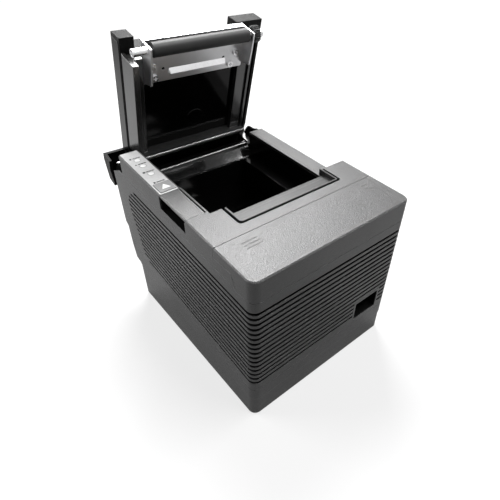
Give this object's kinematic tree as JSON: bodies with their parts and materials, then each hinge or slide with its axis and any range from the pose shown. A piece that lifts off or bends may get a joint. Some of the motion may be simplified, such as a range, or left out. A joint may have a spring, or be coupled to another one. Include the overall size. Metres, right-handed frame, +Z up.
{
  "type": "receipt printer",
  "caption": "Compact upright receipt printer on a wedge base with grooved sides, its clamshell cover with the platen roller standing open over the roll bucket.",
  "frame": {"origin": "centre of the whole printer's box, on the surface that its feet stand on, with the cover open", "axes": "+Z up, +X to the right as seen from the front, +Y towards the rear; the body leans forward 6.2 degrees on its wedge base"},
  "size_m": [0.145, 0.2262, 0.2529],
  "materials": {
    "case_plastic": "fine textured dark grey moulding",
    "gloss_black": "glossy black moulding",
    "liner_plastic": "satin black moulding",
    "label": "satin light grey film",
    "lamp": "clear light pipe",
    "guide_plastic": "dark grey moulding",
    "socket_plastic": "grey moulding",
    "steel": "zinc plated sheet steel",
    "bright_steel": "bright steel",
    "roller_rubber": "ground black rubber",
    "foot_rubber": "black rubber",
    "gear_plastic": "white acetal",
    "black_gear": "black acetal",
    "brass": "turned brass",
    "board": "green circuit board",
    "ceramic": "glazed ceramic",
    "aluminium": "extruded",
    "motor": "dark plated can"
  },
  "bodies": {
    "base": {"lower_case": "case_plastic", "main_case": "case_plastic", "top_deck": "case_plastic", "panel_label": "label", "lamp_windows": "lamp", "button_spring": "steel", "strip_board": "board", "lever_pin": "steel", "latch_spring": "steel", "roll_bucket": "gloss_black", "paper_sensor": "gloss_black", "exit_guide": "guide_plastic", "mechanism_frame": "steel", "head_pivot": "bright_steel", "head_springs": "steel", "paper_guide": "gloss_black", "feed_motor": "motor", "gear_posts": "bright_steel", "cutter_frame": "steel", "cutter_motor": "motor", "main_board": "board", "power_inlet": "gloss_black", "data_sockets": "steel", "drawer_socket": "socket_plastic", "switch_body": "gloss_black", "rubber_feet": "foot_rubber", "base_screws": "steel", "frame_screws": "steel", "hinge_pins": "bright_steel", "hinge_washers": "steel"},
    "cover": {"cover_shell": "case_plastic", "cover_liner": "liner_plastic", "liner_panel": "gloss_black", "platen_bracket": "steel", "bracket_screws": "bright_steel", "platen_sleeves": "bright_steel"},
    "platen": {"platen_shaft": "bright_steel", "platen_roller": "roller_rubber", "platen_gear": "black_gear", "end_sleeve": "bright_steel"},
    "front_cover": {"front_cover": "case_plastic"},
    "feed_button": {"feed_button": "label"},
    "open_lever": {"open_lever": "case_plastic"},
    "release_link": {"release_link": "steel"},
    "latch": {"latch_shaft": "steel", "latch_hooks": "steel"},
    "print_head": {"print_head": "ceramic", "head_sink": "aluminium"},
    "feed_pinion": {"motor_pinion": "brass"},
    "reduction_gear": {"reduction_gear": "gear_plastic"},
    "idler_gear": {"idler_gear": "gear_plastic"},
    "cutter_shaft": {"cutter_shaft": "bright_steel", "cutter_gear": "gear_plastic"},
    "cutter_blade": {"cutter_blade": "bright_steel", "blade_carrier": "steel"},
    "cutter_pinion": {"cutter_pinion": "brass"},
    "power_rocker": {"power_rocker": "gloss_black"}
  },
  "joints": [
    {"name": "cover_hinge", "type": "hinge", "parent": "base", "child": "cover", "pos_m": [0, 0.08236, 0.12971], "axis": [1, 0, 0], "range_deg": [0, 75.2]},
    {"name": "platen_spin", "type": "hinge", "parent": "cover", "child": "platen", "pos_m": [0, 0.04115, 0.24179], "axis": [1, 0, 0], "continuous": true},
    {"name": "front_cover_slide", "type": "slide", "parent": "base", "child": "front_cover", "axis": [0, -0.9999, -0.0171], "range_m": [0, 0.015]},
    {"name": "feed_button_press", "type": "slide", "parent": "base", "child": "feed_button", "axis": [0, 0.108, -0.9942], "range_m": [0, 0.0008], "stiffness_N_per_m": 600, "springref_m": -0.0005, "deforming": ["button_spring"]},
    {"name": "open_lever_lift", "type": "hinge", "parent": "base", "child": "open_lever", "pos_m": [-0.0586, -0.03828, 0.14849], "axis": [0, 0.9942, 0.108], "range_deg": [0, 20]},
    {"name": "release_link_lift", "type": "slide", "parent": "base", "child": "release_link", "axis": [0, -0.108, 0.9942], "range_m": [0, 0.0022]},
    {"name": "latch_turn", "type": "hinge", "parent": "base", "child": "latch", "pos_m": [0, -0.0515, 0.10259], "axis": [1, 0, 0], "range_deg": [0, 5.74], "stiffness_Nm_per_rad": 0.4, "springref_deg": -8.59, "deforming": ["latch_spring"]},
    {"name": "print_head_tilt", "type": "hinge", "parent": "base", "child": "print_head", "pos_m": [0, -0.04415, 0.1044], "axis": [1, 0, 0], "range_deg": [0, 2.5], "stiffness_Nm_per_rad": 0.3, "springref_deg": -2.86},
    {"name": "feed_pinion_spin", "type": "hinge", "parent": "base", "child": "feed_pinion", "pos_m": [0, -0.03649, 0.08205], "axis": [1, 0, 0], "continuous": true},
    {"name": "reduction_gear_spin", "type": "hinge", "parent": "base", "child": "reduction_gear", "pos_m": [0, -0.03805, 0.09636], "axis": [1, 0, 0], "continuous": true},
    {"name": "idler_gear_spin", "type": "hinge", "parent": "base", "child": "idler_gear", "pos_m": [0, -0.03285, 0.10583], "axis": [1, 0, 0], "continuous": true},
    {"name": "cutter_shaft_turn", "type": "hinge", "parent": "base", "child": "cutter_shaft", "pos_m": [0, -0.0621, 0.13534], "axis": [1, 0, 0], "range_deg": [0, 114.6]},
    {"name": "cutter_blade_slide", "type": "slide", "parent": "base", "child": "cutter_blade", "axis": [0, 0.9942, 0.108], "range_m": [0, 0.007]},
    {"name": "cutter_pinion_turn", "type": "hinge", "parent": "base", "child": "cutter_pinion", "pos_m": [0, -0.07343, 0.13139], "axis": [1, 0, 0], "range_deg": [-191, 0]},
    {"name": "power_rocker_tilt", "type": "hinge", "parent": "base", "child": "power_rocker", "pos_m": [0.0436, -0.08483, 0.04833], "axis": [0, -0.108, 0.9942], "range_deg": [-12, 0]}
  ],
  "couplings": [
    {"joint": "open_lever_lift", "follows": "latch_turn", "ratio": 3.4843},
    {"joint": "release_link_lift", "follows": "latch_turn", "m_per_rad": 0.021951},
    {"joint": "reduction_gear_spin", "follows": "idler_gear_spin", "ratio": -2},
    {"joint": "feed_pinion_spin", "follows": "idler_gear_spin", "ratio": 6},
    {"joint": "cutter_shaft_turn", "follows": "cutter_blade_slide", "rad_per_m": 285.71},
    {"joint": "cutter_pinion_turn", "follows": "cutter_blade_slide", "rad_per_m": -476.19}
  ]
}
